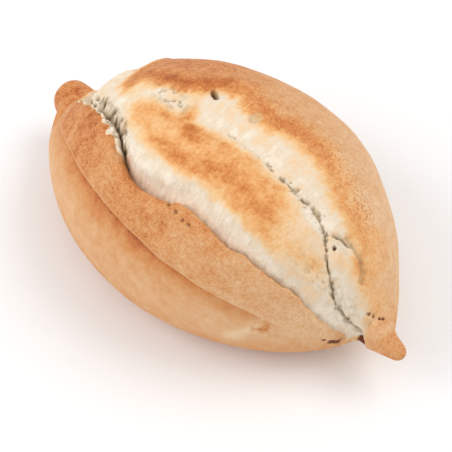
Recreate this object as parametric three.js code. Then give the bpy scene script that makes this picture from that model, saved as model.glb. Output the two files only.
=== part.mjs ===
// A bolillo-type bread roll: a plump spindle of bread with a knob at each end,
// opened along the top by one long slash. Millimetres, +Z up, resting on z = 0.
// +X runs along the roll to the pointed knob, -Y is the side of the raised ear.
//
// The roll is one closed skin, laid ring by ring along X. Each ring starts as a
// plain oval about the roll's axis; the slash, its torn ear, the risen crumb and
// the folds are then pressed in or raised along the ring's radii.
import * as THREE from 'three';

// ---- Overall sizes ----
const HALF_LENGTH = 75.5; // knob tip to knob tip is twice this
const AXIS_HEIGHT = 24.0; // height of the widest level, mid length
const DEPTH_BELOW_AXIS = 27.0; // the plain oval reaches past z = 0 and is cut flat there
const OVAL_POWER_TOP = 2.1; // 2 is an ellipse, more is squarer
const OVAL_POWER_BASE = 2.5;

// Half widths and height above the axis, each swelling from the ends to a peak.
// ends: where it has shrunk to nothing; peak: where it is greatest;
// swell: flatness at the peak; blunt: at each end, 1 is pointed and 2 is round.
const EAR_SIDE = { size: 41.7, peak: -5.0, ends: [-71.2, 61.5], swell: 2.0, blunt: [1.6, 1.27] };
const BACK_SIDE = { size: 47.0, peak: 5.3, ends: [-62.8, 69.8], swell: 1.94, blunt: [2.06, 1.18] };
const TOP = { size: 38.8, peak: 12.0, ends: [-64.0, 62.3], swell: 2.2, blunt: [2.1, 2.3] };
const UNDERSIDE = { size: DEPTH_BELOW_AXIS, peak: 0, ends: [-71, 62], swell: 3.0, blunt: [1.6, 1.5] };

// ---- Knobs ----
const LEFT_KNOB = { radius: 6.5, squareness: 2.5, height: 20.0, y: 0.5 };
const RIGHT_KNOB = { baseX: 64.0, baseRadius: 5.2, tipRadius: 1.9, height: 20.3, y: 0.2, sag: 1.0 };
const KNOB_BLEND_LEFT = 2.0;
const KNOB_BLEND_RIGHT = 1.2;

// ---- Slash ----
// The cut is laid out on a plane leaning SLASH_TILT over the roll. Its lines are
// read across that plane, at stations a fixed step apart along the roll.
const SLASH_TILT = 26.6 * Math.PI / 180;
const FIRST_STATION = -60;
const STATION_STEP = 7.5;
const EAR_EDGE = [9.5, 10.5, 11.2, 11, 8.6, 2.2, 0.3, 0.1, 1, 4, 3.2, 2.4, 3, 2.8, 3, 1.5, 0, -2];
const GROOVE = [13, 15, 18, 21, 23.8, 26, 27.2, 28.6, 30.4, 30.2, 30, 29.3, 27.8, 26.4, 20.6, 10.4, 4.8, 3];
const OFF_THE_TOP = 60; // at the left the slash runs over the back of the roll
const BACK_EDGE = [
  OFF_THE_TOP, OFF_THE_TOP, 23, 26.2, 29, 31.6, 38.8, 42.2, 40.9,
  40.1, 41.4, 41.3, 39.6, 35.6, 30, 24, 15, 4,
];
const EAR_DROP = [3.5, 5.5, 6.2, 6.2, 5.6, 5, 4.2, 3.4, 2.8, 2.5, 2.4, 2.3, 2.2, 2, 1.8, 1.4, 0.8, 0];
// The crease is a fold of the ear side, given by its angle round the roll, in degrees.
const CREASE_ANGLE = [
  122, 124.5, 125, 123.5, 122.2, 121.4, 120.2, 118.9, 117.8,
  116.2, 115, 113, 111, 108, 104, 98, 92, 88,
];

const SLASH_ENDS = { from: -60.5, full: -57.5, fading: 61, gone: 65 };
const LIP = { thickness: 0.5, raisedFrom: -9, raisedFull: -2, rise: 0.35, risePerDrop: 0.12 };
const EAR_CLIMB = { left: 4, right: 7.5 }; // width over which the crumb rises out of the crack
const DOME = { rise: 1.3, pastEar: 15, width: 9 }; // risen crumb over the plain oval
const NECK = { from: -63, full: -59, end: -55.5, gone: -53, depth: 8.0 }; // beside the left knob
// Behind the crumb: a broad dip with a narrow split at its bottom.
const GROOVE_DIP = { depth: 1.6, width: 4.5 };
const GROOVE_CUT = { depth: 1.7, width: 1.2 };
const GROOVE_FAINT = { share: 0.25, until: -22, full: -12 }; // shallow left of here
const BACK_RIM = { rise: 0.9, behind: 3.5, width: 4, step: 0.5 };
const CREASE = { depth: 1.5, width: 1.7 };
const BAND = { rise: 0.8, from: 0.5, full: 6 }; // crust above the crease, over the flank

// Short tears beside the groove: points are [along, across] on the slash plane.
const TEARS = [
  {
    points: [[42.9, 25.6], [46.9, 26.2], [49.8, 25], [52.9, 23.6], [55.1, 21.2], [56.5, 18.3]],
    depth: 1.6,
    width: 1.3,
  },
  { points: [[-46, 13.8], [-41, 15.6], [-37, 14.6]], depth: 1.2, width: 1.6 },
];
const LUMP = { along: 50.5, across: 19.5, radius: 5.0, rise: 1.1 };

// ---- Uneven skin ----
const CRUST_UNEVEN = { height: 0.3, spacing: 9 };
const CRUMB_UNEVEN = { height: 0.45, spacing: 5 };

// ---- Mesh ----
const RINGS = 98;
const END_CROWDING = 0.55; // share of cosine spacing, which packs rings at the ends
const ZONES = [6, 7, 9, 1, 12, 8, 10, 5]; // faces round a ring between guide lines

const COLOUR = 0xe1b385;
const ROUGHNESS = 0.85;
const METALNESS = 0.0;

// ---- Small helpers ----
const clamp = (v, low, high) => Math.min(high, Math.max(low, v));
const mix = (a, b, t) => a + (b - a) * t;
const bump = (distance, width) => Math.exp(-((distance / width) ** 2));

function ramp(v, from, to) {
  const t = clamp((v - from) / (to - from), 0, 1);
  return t * t * (3 - 2 * t);
}

function softMax(a, b, blend) {
  return 0.5 * (a + b + Math.sqrt((a - b) ** 2 + blend * blend));
}

// Smooth line through evenly spaced stations.
function atStations(x, values) {
  const last = values.length - 1;
  const t = clamp((x - FIRST_STATION) / STATION_STEP, 0, last - 1e-9);
  const i = Math.floor(t);
  const f = t - i;
  const [p0, p1, p2, p3] = [-1, 0, 1, 2].map((k) => values[clamp(i + k, 0, last)]);
  return 0.5 * (2 * p1 + (p2 - p0) * f + (2 * p0 - 5 * p1 + 4 * p2 - p3) * f * f
    + (3 * p1 - p0 - 3 * p2 + p3) * f ** 3);
}

// Repeatable random value from -1 to 1 for a whole-number cell.
function cellValue(i, j, k) {
  let h = Math.imul(i, 374761393) + Math.imul(j, 668265263) + Math.imul(k, 974634777);
  h = Math.imul(h ^ (h >>> 13), 1274126177);
  h ^= h >>> 16;
  return (h & 0xffff) / 32767.5 - 1;
}

// Smooth unevenness, -1 to 1, over space.
function unevenness({ x, y, z }, spacing) {
  const p = [x / spacing, y / spacing, z / spacing];
  const cell = p.map(Math.floor);
  const f = p.map((v, n) => ramp(v - cell[n], 0, 1));
  let sum = 0;
  for (let corner = 0; corner < 8; corner += 1) {
    const d = [corner & 1, (corner >> 1) & 1, corner >> 2];
    const weight = d.reduce((w, bit, n) => w * (bit ? f[n] : 1 - f[n]), 1);
    sum += weight * cellValue(cell[0] + d[0], cell[1] + d[1], cell[2] + d[2]);
  }
  return sum;
}

// ---- Plain oval ----
function swelling(x, s) {
  const end = x < s.peak ? 0 : 1;
  const t = clamp((x - s.peak) / (s.ends[end] - s.peak), 0, 1);
  return s.size * (1 - t ** s.swell) ** (1 / s.blunt[end]);
}

function knobRadius(x) {
  if (x < 0) {
    const { radius, squareness } = LEFT_KNOB;
    const beyond = Math.max(0, -HALF_LENGTH + radius - x);
    return Math.max(0, radius ** squareness - beyond ** squareness) ** (1 / squareness);
  }
  const { baseX, baseRadius, tipRadius } = RIGHT_KNOB;
  const taper = clamp((x - baseX) / (HALF_LENGTH - baseX), 0, 1);
  const radius = mix(baseRadius, tipRadius, taper);
  const beyond = Math.max(0, x - HALF_LENGTH + tipRadius);
  return radius * Math.sqrt(Math.max(0, 1 - (beyond / tipRadius) ** 2));
}

// The sizes of the ring at x: its axis point and its four half sizes.
function ringAt(x) {
  const knob = knobRadius(x);
  const nearTip = clamp((HALF_LENGTH - Math.abs(x)) / 3, 0, 1);
  const blend = (x < 0 ? KNOB_BLEND_LEFT : KNOB_BLEND_RIGHT) * nearTip;
  const [earSide, backSide, top, underside] = [EAR_SIDE, BACK_SIDE, TOP, UNDERSIDE]
    .map((side) => Math.max(1e-6, softMax(swelling(x, side), knob, blend)));
  const toLeft = ramp(-x / HALF_LENGTH, 0.25, 0.9);
  const toRight = ramp(x / HALF_LENGTH, 0.25, 0.9);
  const sag = RIGHT_KNOB.sag * ramp(x, RIGHT_KNOB.baseX, HALF_LENGTH);
  return {
    x,
    y: LEFT_KNOB.y * toLeft + RIGHT_KNOB.y * toRight,
    z: AXIS_HEIGHT + (LEFT_KNOB.height - AXIS_HEIGHT) * toLeft
      + (RIGHT_KNOB.height - AXIS_HEIGHT) * toRight - sag,
    earSide,
    backSide,
    top,
    underside,
  };
}

// A point of the plain oval. The angle is 0 at the bottom and 90 on the ear side.
function ovalPoint(ring, degrees) {
  const angle = degrees * Math.PI / 180;
  const sy = -Math.sin(angle);
  const sz = -Math.cos(angle);
  const width = sy < 0 ? ring.earSide : ring.backSide;
  const height = sz < 0 ? ring.underside : ring.top;
  const power = sz < 0 ? OVAL_POWER_BASE : OVAL_POWER_TOP;
  const radius = ((Math.abs(sy) / width) ** power + (Math.abs(sz) / height) ** power) ** (-1 / power);
  const y = ring.y + radius * sy;
  const z = ring.z + radius * sz;
  const across = y * Math.cos(SLASH_TILT) + z * Math.sin(SLASH_TILT);
  return { x: ring.x, y, z, sy, sz, radius, degrees, across };
}

// The angle at which a ring crosses a line of the slash.
function angleAcross(ring, across) {
  let low = 66;
  let high = 240;
  for (let step = 0; step < 24; step += 1) {
    const middle = (low + high) / 2;
    if (ovalPoint(ring, middle).across < across) low = middle;
    else high = middle;
  }
  return (low + high) / 2;
}

// ---- Relief ----
function tearDepth(along, across, tear) {
  let nearest = Infinity;
  for (let n = 0; n + 1 < tear.points.length; n += 1) {
    const [ax, ay] = tear.points[n];
    const [bx, by] = tear.points[n + 1];
    const t = clamp(((along - ax) * (bx - ax) + (across - ay) * (by - ay))
      / ((bx - ax) ** 2 + (by - ay) ** 2), 0, 1);
    nearest = Math.min(nearest, Math.hypot(along - mix(ax, bx, t), across - mix(ay, by, t)));
  }
  return tear.depth * bump(nearest, tear.width);
}

// How far a point of the oval moves outwards, in millimetres.
function relief(p) {
  const { x, degrees } = p;
  const pastEar = p.across - atStations(x, EAR_EDGE);
  const pastGroove = p.across - atStations(x, GROOVE);
  const beforeBack = atStations(x, BACK_EDGE) - p.across;
  const drop = atStations(x, EAR_DROP);
  const withinEnds = ramp(x, SLASH_ENDS.from, SLASH_ENDS.full)
    * (1 - ramp(x, SLASH_ENDS.fading, SLASH_ENDS.gone));
  const upperSide = ramp(degrees, 40, 55) * (1 - ramp(degrees, 262, 285));
  const open = withinEnds * upperSide;
  const pastLip = ramp(pastEar, -0.3 * LIP.thickness, 0.7 * LIP.thickness);
  const crumb = open * pastLip * ramp(beforeBack, -1, 2);

  let out = 0;
  // The ear: a lip raised along its torn edge, then the drop to the crack and
  // the crumb climbing again beyond it.
  const lipRise = LIP.rise + LIP.risePerDrop * drop;
  out += open * (1 - pastLip) * ramp(pastEar, LIP.raisedFrom, LIP.raisedFull) * lipRise;
  const climb = mix(EAR_CLIMB.left, EAR_CLIMB.right, ramp(x, -25, 5));
  out -= open * pastLip * drop * (1 - ramp(pastEar, LIP.thickness, climb + LIP.thickness));
  const domeEnds = ramp(x, -58, -40) * (1 - ramp(x, 38, 54));
  out += crumb * DOME.rise * bump(pastEar - DOME.pastEar, DOME.width) * domeEnds;

  // The neck beside the left knob, pulled apart by the slash.
  const neck = ramp(x, NECK.from, NECK.full) * (1 - ramp(x, NECK.end, NECK.gone));
  out -= NECK.depth * neck * ramp(pastEar, 0, 3) * (1 - ramp(degrees, 250, 290));

  // The groove behind the crumb, the tears beside it and the lump between them.
  const grooveShare = mix(GROOVE_FAINT.share, 1, ramp(x, GROOVE_FAINT.until, GROOVE_FAINT.full));
  out -= crumb * grooveShare * GROOVE_DIP.depth * bump(pastGroove, GROOVE_DIP.width);
  out -= crumb * grooveShare * GROOVE_CUT.depth * bump(pastGroove, GROOVE_CUT.width);
  for (const tear of TEARS) out -= open * tearDepth(x, p.across, tear);
  out += crumb * LUMP.rise * bump(Math.hypot(x - LUMP.along, p.across - LUMP.across), LUMP.radius);

  // The soft rim of the back crust.
  out += open * BACK_RIM.rise * bump(beforeBack + BACK_RIM.behind, BACK_RIM.width);
  out -= open * BACK_RIM.step * pastLip * ramp(beforeBack, -1, 2.5);

  // The crease along the ear side: smooth flank below, thicker crust above.
  const pastCrease = (degrees - atStations(x, CREASE_ANGLE)) * Math.PI / 180 * p.radius;
  const creased = ramp(x, -70, -60) * (1 - ramp(x, 34, 52)) * (1 - ramp(pastEar, -4, 0))
    * ramp(degrees, 30, 60) * (1 - ramp(degrees, 185, 200));
  out += creased * BAND.rise * ramp(pastCrease, BAND.from, BAND.full);
  out -= creased * CREASE.depth * bump(pastCrease, CREASE.width);

  // Uneven skin, rougher on the crumb.
  const crust = (1 - crumb) * ramp(degrees, 60, 110);
  out += crust * CRUST_UNEVEN.height * unevenness(p, CRUST_UNEVEN.spacing);
  out += crumb * CRUMB_UNEVEN.height * unevenness(p, CRUMB_UNEVEN.spacing);
  return out * ramp(HALF_LENGTH - Math.abs(x), 0, 5);
}

// ---- Skin ----
// Guide angles of a ring: the faces follow the crease and the slash's lines, and
// settle to fixed angles on the knobs, where those lines have ended.
function guideAngles(ring) {
  const { x } = ring;
  const nearLeft = 1 - ramp(x, -66, -60);
  const crease = mix(mix(atStations(x, CREASE_ANGLE), 115, nearLeft), 75, ramp(x, 38, 54));
  let ear = angleAcross(ring, atStations(x, EAR_EDGE));
  ear = mix(ear, 154, nearLeft);
  ear = mix(ear, 105, ramp(x, 51, 56));
  let groove = angleAcross(ring, atStations(x, GROOVE));
  groove = mix(groove, 172, 1 - ramp(x, -56, -48));
  groove = mix(groove, 150, ramp(x, 54.5, 58));
  let back = angleAcross(ring, atStations(x, BACK_EDGE));
  back = mix(back, 188, 1 - ramp(x, -46.5, -42));
  back = mix(back, 190, ramp(x, 52, 60));
  return [0, 58, crease, ear - 0.6, ear + 0.9, groove, back, 300, 360];
}

function ringPoints(x) {
  const ring = ringAt(x);
  const guides = guideAngles(ring);
  const points = [];
  ZONES.forEach((faces, zone) => {
    for (let n = 0; n < faces; n += 1) {
      const p = ovalPoint(ring, mix(guides[zone], guides[zone + 1], n / faces));
      const radius = p.radius + relief(p);
      const y = ring.y + radius * p.sy;
      const z = ring.z + radius * p.sz;
      points.push([x, y, p.z < 0 ? 0 : softMax(z, 0, 0.6)]);
    }
  });
  return points;
}

function rollGeometry() {
  const columns = ZONES.reduce((sum, faces) => sum + faces, 0);
  const left = ringAt(-HALF_LENGTH);
  const right = ringAt(HALF_LENGTH);
  const points = [[-HALF_LENGTH, left.y, left.z]];
  for (let n = 1; n < RINGS; n += 1) {
    const t = n / RINGS;
    const even = 2 * t - 1;
    const crowded = -Math.cos(Math.PI * t);
    points.push(...ringPoints(HALF_LENGTH * mix(even, crowded, END_CROWDING)));
  }
  points.push([HALF_LENGTH, right.y, right.z]);

  const faces = [];
  const lastPole = points.length - 1;
  const at = (ring, column) => 1 + (ring - 1) * columns + (column % columns);
  for (let c = 0; c < columns; c += 1) {
    faces.push(0, at(1, c), at(1, c + 1));
    for (let r = 1; r < RINGS - 1; r += 1) {
      faces.push(at(r, c), at(r + 1, c), at(r + 1, c + 1));
      faces.push(at(r, c), at(r + 1, c + 1), at(r, c + 1));
    }
    faces.push(at(RINGS - 1, c), lastPole, at(RINGS - 1, c + 1));
  }

  const geometry = new THREE.BufferGeometry();
  geometry.setAttribute('position', new THREE.Float32BufferAttribute(points.flat(), 3));
  geometry.setIndex(faces);
  // Centre the roll over the origin, with its flat base on z = 0.
  geometry.computeBoundingBox();
  const { min, max } = geometry.boundingBox;
  geometry.translate(-(min.x + max.x) / 2, -(min.y + max.y) / 2, -min.z);
  geometry.computeVertexNormals();
  return geometry;
}

const crustMaterial = new THREE.MeshStandardMaterial({
  color: COLOUR,
  roughness: ROUGHNESS,
  metalness: METALNESS,
});
const roll = new THREE.Mesh(rollGeometry(), crustMaterial);
roll.name = 'bread_roll';

const part = new THREE.Group();
part.name = 'bread_roll_part';
part.add(roll);

export default part;
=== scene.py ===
"""Dresses the bread roll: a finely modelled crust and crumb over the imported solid, on a pale floor.

The roll's form is built again from the same named sizes as the solid, in millimetres, on a much
finer grid, which also takes the torn edges, splits, pores and folds. How baked each place is goes
to the materials as attributes.
"""
import math
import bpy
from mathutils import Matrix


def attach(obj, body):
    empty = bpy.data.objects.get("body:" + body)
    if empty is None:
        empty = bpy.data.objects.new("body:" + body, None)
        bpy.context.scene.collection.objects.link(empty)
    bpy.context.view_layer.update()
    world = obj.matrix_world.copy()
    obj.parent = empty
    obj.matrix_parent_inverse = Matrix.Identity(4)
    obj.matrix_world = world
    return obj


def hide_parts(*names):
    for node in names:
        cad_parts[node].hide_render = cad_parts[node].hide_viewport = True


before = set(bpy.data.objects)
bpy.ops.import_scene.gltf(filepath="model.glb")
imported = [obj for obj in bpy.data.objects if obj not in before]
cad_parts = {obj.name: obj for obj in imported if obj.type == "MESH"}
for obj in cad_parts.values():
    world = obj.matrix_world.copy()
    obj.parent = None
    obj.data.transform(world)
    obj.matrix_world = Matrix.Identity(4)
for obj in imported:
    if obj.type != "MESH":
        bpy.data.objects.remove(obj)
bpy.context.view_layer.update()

from types import SimpleNamespace

import bpy
import numpy as np
from mathutils import Vector

NODE = "bread_roll"
MM = 0.001

# ---- The solid's sizes, in millimetres ----
HALF_LENGTH = 75.5
AXIS_HEIGHT = 24.0
DEPTH_BELOW_AXIS = 27.0
OVAL_POWER_TOP = 2.1
OVAL_POWER_BASE = 2.5
EAR_SIDE = dict(size=41.7, peak=-5.0, ends=(-71.2, 61.5), swell=2.0, blunt=(1.6, 1.27))
BACK_SIDE = dict(size=47.0, peak=5.3, ends=(-62.8, 69.8), swell=1.94, blunt=(2.06, 1.18))
TOP = dict(size=38.8, peak=12.0, ends=(-64.0, 62.3), swell=2.2, blunt=(2.1, 2.3))
UNDERSIDE = dict(size=DEPTH_BELOW_AXIS, peak=0.0, ends=(-71.0, 62.0), swell=3.0, blunt=(1.6, 1.5))
LEFT_KNOB = dict(radius=6.5, squareness=2.5, height=20.0, y=0.5)
RIGHT_KNOB = dict(base_x=64.0, base_radius=5.2, tip_radius=1.9, height=20.3, y=0.2, sag=1.0)
KNOB_BLEND_LEFT = 2.0
KNOB_BLEND_RIGHT = 1.2

# The slash's lines, across its leaning plane, at stations a fixed step apart along the roll.
SLASH_TILT = math.radians(26.6)
FIRST_STATION = -60.0
STATION_STEP = 7.5
EAR_EDGE = (9.5, 10.5, 11.2, 11, 8.6, 2.2, 0.3, 0.1, 1, 4, 3.2, 2.4, 3, 2.8, 3, 1.5, 0, -2)
GROOVE = (13, 15, 18, 21, 23.8, 26, 27.2, 28.6, 30.4, 30.2, 30, 29.3, 27.8, 26.4, 20.6, 10.4, 4.8, 3)
OFF_THE_TOP = 60.0
BACK_EDGE = (OFF_THE_TOP, OFF_THE_TOP, 23, 26.2, 29, 31.6, 38.8, 42.2, 40.9,
             40.1, 41.4, 41.3, 39.6, 35.6, 30, 24, 15, 4)
EAR_DROP = (3.5, 5.5, 6.2, 6.2, 5.6, 5, 4.2, 3.4, 2.8, 2.5, 2.4, 2.3, 2.2, 2, 1.8, 1.4, 0.8, 0)
CREASE_ANGLE = (122, 124.5, 125, 123.5, 122.2, 121.4, 120.2, 118.9, 117.8,
                116.2, 115, 113, 111, 108, 104, 98, 92, 88)
SLASH_ENDS = dict(start=-60.5, full=-57.5, fading=61.0, gone=65.0)
LIP = dict(thickness=0.5, raised_from=-9.0, raised_full=-2.0, rise=0.35, rise_per_drop=0.12)
EAR_CLIMB = (4.0, 7.5)
DOME = dict(rise=1.3, past_ear=15.0, width=9.0)
NECK = dict(start=-63.0, full=-59.0, end=-55.5, gone=-53.0, depth=8.0)
GROOVE_DIP = dict(depth=1.6, width=4.5)
GROOVE_FAINT = dict(share=0.25, until=-22.0, full=-12.0)
BACK_RIM = dict(rise=0.9, behind=3.5, width=4.0, step=0.5)
CREASE = dict(depth=1.5, width=1.7)
CREASE_RIDGE = 1.0
BAND = dict(rise=0.8, start=0.5, full=6.0)
LUMP = dict(along=50.5, across=19.5, radius=5.0, rise=1.1)
CRUST_UNEVEN = dict(height=0.3, spacing=9.0)
CRUMB_UNEVEN = dict(height=0.45, spacing=5.0)

# ---- The ear's and the back crust's edges as torn, where they depart from the solid's lines ----
# The ear reaches furthest over the crumb at its tongue.
TONGUE = dict(along=-23.5, half=6.5, reach=3.2)
# The back edge leans at the left, and rises at three places: along, half length, rise.
BACK_LEAN = 2.2
BACK_RISES = ((-25, 8, 1.7), (-38, 6, 2.6), (49, 6, 3.2))

# ---- Finer detail, in millimetres ----
# Behind the neck the risen crumb steps up.
SHOULDER = dict(along=-49.6, half=2.8, depth=3.6)
# How far the crumb beyond the ear is drawn back under its lip, for each millimetre of drop.
LIP_SLIDE = 0.38
# Heights and depths of the fine textures.
WALL_RECESS = 0.9
SHRED_HEIGHT = 0.4
PIT_DEPTH = 1.5
FIBRE_HEIGHT = 0.11
FIBRE_EXTRA_NEAR_EAR = 0.13
STRAND_HEIGHT = 0.8
TOAST_WRINKLE_HEIGHT = 0.13
BAND_WRINKLE_HEIGHT = 0.07
PORE_DEPTH = 0.7
CREASE_RIDGE_HEIGHT = 0.3
SCORCH_DEPTH = 0.3
# Splits are lines of [along, across] on the slash plane, cut in or, with a minus, raised.
SPLITS = (
    dict(points=((46.9, 26.2), (49.8, 25), (52.9, 23.6), (55.1, 21.2), (56.5, 18.3)),
         depth=1.5, width=0.8),
    dict(points=((-46, 13.8), (-41, 15.6), (-37, 14.6)), depth=1.2, width=1.4),
    dict(points=((44.4, 24.4), (46.6, 24.9), (48.8, 24.2)), depth=2.2, width=0.5),
    dict(points=((-61, 10.6), (-56, 12.4), (-51.5, 12.6), (-47.5, 12.2)), depth=2.4, width=0.8),
    dict(points=((-69, 8.8), (-68.2, 11), (-67.1, 13.2)), depth=0.7, width=0.8),
    dict(points=((-65.2, 3.3), (-66, 7), (-65.3, 9.5), (-63.5, 11.7)), depth=-0.6, width=0.7),
)
# The groove's open slots: along, half length, depth, width.
SLOTS = (
    (2.5, 1.1, 0.9, 0.36), (7.4, 0.6, 0.6, 0.32), (13.2, 0.7, 0.7, 0.32), (17.0, 0.9, 1.1, 0.38),
    (22.7, 0.6, 1.0, 0.36), (26.6, 1.9, 1.1, 0.36), (32.1, 1.1, 1.7, 0.42), (35.2, 0.7, 0.9, 0.40),
    (38.2, 1.3, 1.2, 0.45), (41.3, 1.0, 1.3, 0.55), (44.5, 0.7, 0.8, 0.35), (47.8, 1.3, 1.5, 0.60),
    (50.3, 0.6, 1.1, 0.40), (53.0, 0.9, 0.5, 0.35), (56.0, 1.2, 1.2, 0.60), (59.3, 1.1, 0.9, 0.45),
)
# How far the groove has come open into porous crumb, at the stations.
GROOVE_OPEN = (0, 0, 0, 0, 0, 0, 0.1, 0.15, 0.2, 0.22, 0.3, 0.5, 0.75, 0.95, 0.6, 0.85, 0.75, 0.2)
# Holes: along, across, half length along and across, depth. They lean across as they run along.
HOLES = (
    (-13.1, 36.8, 2.1, 0.85, 3.2), (46.9, 21.4, 0.65, 0.6, 1.8), (3.2, 1.5, 0.6, 0.5, 0.7),
    (6.4, 1.3, 0.7, 0.6, 0.8), (9.7, 0.7, 0.6, 0.6, 0.7), (12.1, 0.6, 0.7, 0.5, 0.7),
)
HOLE_SLANT = -0.3
BUBBLE = dict(along=2.6, across=38.6, half_along=2.0, half_across=1.9, depth=0.7)

# ---- How baked each place is ----
# The toasted strip along the dome, at the stations: its middle across the slash, and its half width.
TOAST_MIDDLE = (15, 15, 16, 17.5, 18, 18.5, 18.5, 19, 19.5, 20, 20, 19, 17.5, 15, 13, 8, 4, 2)
TOAST_HALF_WIDTH = (0.5, 0.5, 2, 4, 6.5, 7.5, 8, 8.5, 9.3, 9.3, 9, 9, 9, 8.5, 7, 4, 1, 0.5)
# Toasted blotches on the risen crumb: along, across, half sizes, how much browner.
BLOTCHES = (
    (-29.0, 18.6, 3.4, 2.4, 0.40), (-24.4, 20.6, 3.2, 2.4, 0.46), (-19.0, 22.0, 3.4, 2.2, 0.38),
    (-24.6, 16.9, 3.0, 1.6, 0.22), (-19.8, 16.9, 2.8, 1.6, 0.22), (-13.5, 27.4, 2.2, 2.6, 0.95),
    (-9.2, 23.6, 2.8, 2.2, 0.85), (-5.3, 21.2, 2.6, 1.6, 0.42), (-15.0, 14.2, 2.8, 1.4, 0.28),
    (-10.6, 14.9, 2.8, 1.5, 0.30), (-6.8, 15.4, 2.6, 1.5, 0.26), (-8.4, 12.6, 2.8, 1.2, 0.18),
    (-3.4, 14.0, 2.6, 1.8, 0.34), (-3.6, 25.0, 3.0, 1.2, 0.26), (3.0, 26.1, 5.0, 1.2, 0.20),
    (1.2, 14.2, 3.4, 1.8, 0.34), (6.6, 17.8, 4.4, 2.4, 0.34), (12.0, 20.5, 4.4, 1.5, 0.34),
    (13.0, 17.4, 4.2, 1.8, 0.24), (18.4, 19.0, 3.6, 1.6, 0.38), (23.0, 17.0, 3.4, 1.5, 0.30),
    (27.6, 16.7, 3.4, 2.0, 0.28), (31.4, 16.4, 2.4, 1.4, 0.26), (28.3, 20.4, 2.6, 1.6, 0.22),
    (34.0, 11.8, 3.4, 2.2, 0.22), (41.0, 13.4, 4.4, 2.0, 0.24), (46.0, 14.2, 2.6, 2.2, 0.26),
    (47.2, 6.6, 3.2, 2.8, 0.12), (52.2, 22.0, 2.6, 1.6, 0.20), (49.8, 19.2, 3.0, 2.0, 0.26),
)
# Scorched marks: x, y, z and radius.
SCORCHES = (
    (54.2, -12.6, 20.1, 0.7), (55.6, -10.6, 18.4, 1.4), (56.6, -9.2, 17.6, 1.4), (62.3, -3.2, 17.1, 2.5),
    (61.4, -1.0, 29.9, 0.85), (62.0, 0.7, 26.9, 0.6), (63.5, 1.9, 26.0, 0.6), (64.1, 2.8, 25.4, 0.6),
)
BLISTER = dict(along=40.3, degrees=98.5, half_along=3.4, half_round=3.2, rise=0.8)
# A pale streak beside the blister, as points of [along, across].
PALE_STREAK = ((31.0, -20.0), (36.3, -14.3), (39.8, -9.7))
LEFT_KNOB_BAKE = 0.77
RIGHT_KNOB_BAKE = 0.64
UNDERSIDE_BAKE = 0.80
# The attributes that the bread's material reads, beside the vector "lay".
ATTRIBUTES = ("bake", "warm", "crumbly", "freckles", "dark", "scorch", "smooth")

# ---- Grid ----
RINGS = 430
END_CROWDING = 0.3
ZONES = (14, 22, 40, 10, 60, 34, 32, 10)
CLOSING_POWER = 1.25
OPENING_POWER = 1.35
BOTH_ENDS_SHARE = 0.55
# The slash lies between these angles round the roll.
SLASH_ANGLES = (66.0, 240.0)
HALVINGS = 24

# ---- Camera, from the way the photo shows the roll ----
VIEW_AZIMUTH = math.radians(43.3)
VIEW_ELEVATION = math.radians(55.0)
VIEW_DISTANCE = 478.0
VIEW_AIM = (4.6, -3.0, 22.0)
LENS = 120.0

# ---- Light and floor, in metres and watts ----
ROOM_LIGHT = 0.72
KEY_LIGHT = dict(place=(0.35, 0.5, 0.95), size=0.7, power=3.8)
FILL_LIGHT = dict(place=(-0.55, -0.6, 0.7), size=0.8, power=4.0)
LIT_POINT = (0, 0, 0.03)
FLOOR_REACH = 3.0
FLOOR_COLOUR = (0.93, 0.93, 0.93, 1.0)


# ---- Small helpers ----
def mix(a, b, t):
    return a + (b - a) * t


def ramp(v, start, end):
    """0 up to start, 1 from end on, and smooth between them."""
    t = np.clip((v - start) / (end - start), 0, 1)
    return t * t * (3 - 2 * t)


def bump(distance, width):
    """1 at no distance, falling away over the width."""
    return np.exp(-((distance / width) ** 2))


def soft_max(a, b, blend):
    """The greater of the two, rounded over where they meet."""
    return 0.5 * (a + b + np.sqrt((a - b) ** 2 + blend * blend))


def at_stations(x, values):
    """A smooth line through evenly spaced stations."""
    line = np.asarray(values, float)
    last = len(line) - 1
    t = np.clip((x - FIRST_STATION) / STATION_STEP, 0, last - 1e-9)
    i = np.floor(t).astype(int)
    f = t - i
    p0, p1, p2, p3 = (line[np.clip(i + k, 0, last)] for k in (-1, 0, 1, 2))
    return 0.5 * (2 * p1 + (p2 - p0) * f + (2 * p0 - 5 * p1 + 4 * p2 - p3) * f ** 2
                  + (3 * p1 - p0 - 3 * p2 + p3) * f ** 3)


def cell_value(i, j, k):
    """A repeatable random value from -1 to 1 for each whole-number cell."""
    word = 0xFFFFFFFF
    h = (i * 374761393 + j * 668265263 + k * 974634777) & word
    h = ((h ^ (h >> 13)) * 1274126177) & word
    h ^= h >> 16
    return (h & 0xFFFF) / 32767.5 - 1


def noise(x, y, z):
    """Smooth unevenness, -1 to 1, one lump to a unit."""
    x, y, z = np.broadcast_arrays(x, y, z)
    cell = [np.floor(v).astype(np.int64) for v in (x, y, z)]
    f = [ramp(v - c, 0, 1) for v, c in zip((x, y, z), cell)]
    total = np.zeros(x.shape)
    for corner in range(8):
        step = [(corner >> n) & 1 for n in range(3)]
        weight = np.ones(x.shape)
        for n in range(3):
            weight = weight * (f[n] if step[n] else 1 - f[n])
        total += weight * cell_value(*(cell[n] + step[n] for n in range(3)))
    return total


def lumps(p, spacing, seed=0.0):
    return noise(p.x / spacing + seed, p.y / spacing + seed, p.z / spacing + seed)


def rough(p, spacing, seed=0.0):
    """Lumps with finer lumps on them."""
    return 0.6 * lumps(p, spacing, seed) + 0.4 * lumps(p, spacing * 0.43, seed + 17.3)


# ---- The plain oval ----
def swelling(x, side):
    """A half size of the roll's body at x, without the knobs."""
    start, end = side["ends"]
    left = x < side["peak"]
    t = (x - side["peak"]) / np.where(left, start - side["peak"], end - side["peak"])
    blunt = np.where(left, *side["blunt"])
    return side["size"] * (1 - np.clip(t, 0, 1) ** side["swell"]) ** (1 / blunt)


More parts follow.
